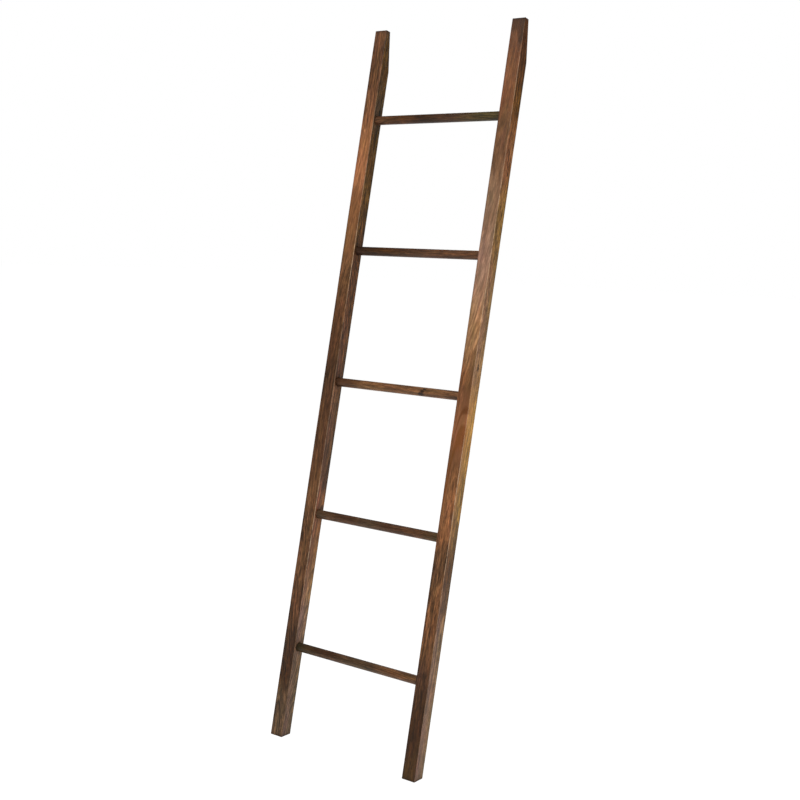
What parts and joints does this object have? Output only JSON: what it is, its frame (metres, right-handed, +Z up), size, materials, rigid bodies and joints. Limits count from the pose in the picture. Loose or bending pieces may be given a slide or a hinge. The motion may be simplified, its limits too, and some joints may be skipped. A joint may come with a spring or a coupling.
{
  "type": "leaning blanket ladder",
  "caption": "Wooden blanket ladder that leans on a wall: two square rails, level at the foot and cut upright behind the top, joined by evenly spaced round rungs glued into blind sockets.",
  "frame": {"origin": "on the floor, under the middle of the ladder's box as it leans", "axes": "+X across the ladder to the right seen from the front, +Y towards the wall it leans on, +Z up"},
  "size_m": [0.454, 0.3386, 1.8001],
  "materials": {
    "rail_wood": "walnut stain under a satin clear coat",
    "rung_wood": "darker walnut stain under a satin clear coat"
  },
  "bodies": {
    "root": {"left_rail": "rail_wood", "right_rail": "rail_wood", "rung_1": "rung_wood", "rung_2": "rung_wood", "rung_3": "rung_wood", "rung_4": "rung_wood", "rung_5": "rung_wood"}
  },
  "joints": []
}
